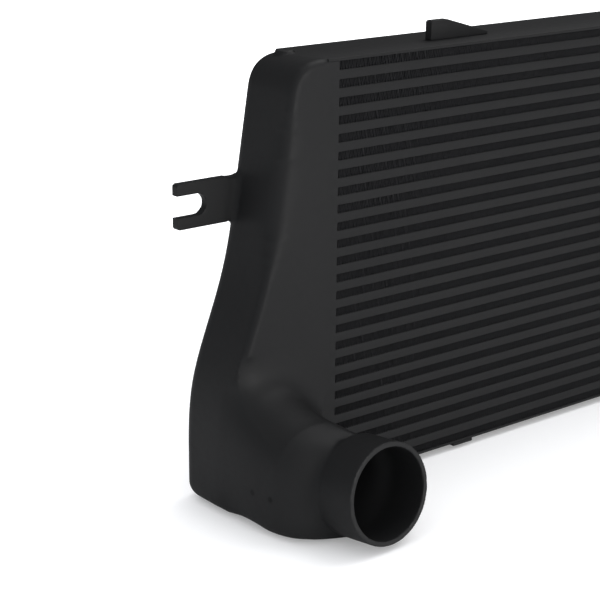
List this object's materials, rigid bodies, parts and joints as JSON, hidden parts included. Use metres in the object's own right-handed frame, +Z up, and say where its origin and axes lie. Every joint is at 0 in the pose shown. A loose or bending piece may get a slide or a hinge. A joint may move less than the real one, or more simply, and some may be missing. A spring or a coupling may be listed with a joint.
{
  "type": "intercooler",
  "caption": "Bar-and-plate charge air cooler with cast end tanks, a forked lug on each tank and forward-facing hose spigots at the foot.",
  "frame": {"origin": "middle of the whole object's box, on the plane it stands on", "axes": "+X across the core towards its right tank, seen from the front; +Y backwards through the core, so the spigots point to -Y; +Z up"},
  "size_m": [0.9086, 0.1996, 0.4091],
  "materials": {
    "tank": "satin",
    "core": "satin",
    "fins": "satin"
  },
  "bodies": {
    "root": {"left_tank": "tank", "right_tank": "tank", "top_plate": "core", "bottom_plate": "core", "top_tab_left": "core", "top_tab_right": "core", "foot_tab_left": "core", "foot_tab_right": "core", "charge_tube_01": "core", "charge_tube_02": "core", "charge_tube_03": "core", "charge_tube_04": "core", "charge_tube_05": "core", "charge_tube_06": "core", "charge_tube_07": "core", "charge_tube_08": "core", "charge_tube_09": "core", "charge_tube_10": "core", "charge_tube_11": "core", "charge_tube_12": "core", "charge_tube_13": "core", "charge_tube_14": "core", "charge_tube_15": "core", "charge_tube_16": "core", "charge_tube_17": "core", "charge_tube_18": "core", "charge_tube_19": "core", "charge_tube_20": "core", "charge_tube_21": "core", "charge_tube_22": "core", "charge_tube_23": "core", "charge_tube_24": "core", "air_fin_01": "fins", "air_fin_02": "fins", "air_fin_03": "fins", "air_fin_04": "fins", "air_fin_05": "fins", "air_fin_06": "fins", "air_fin_07": "fins", "air_fin_08": "fins", "air_fin_09": "fins", "air_fin_10": "fins", "air_fin_11": "fins", "air_fin_12": "fins", "air_fin_13": "fins", "air_fin_14": "fins", "air_fin_15": "fins", "air_fin_16": "fins", "air_fin_17": "fins", "air_fin_18": "fins", "air_fin_19": "fins", "air_fin_20": "fins", "air_fin_21": "fins", "air_fin_22": "fins", "air_fin_23": "fins", "air_fin_24": "fins", "air_fin_25": "fins"}
  },
  "joints": []
}
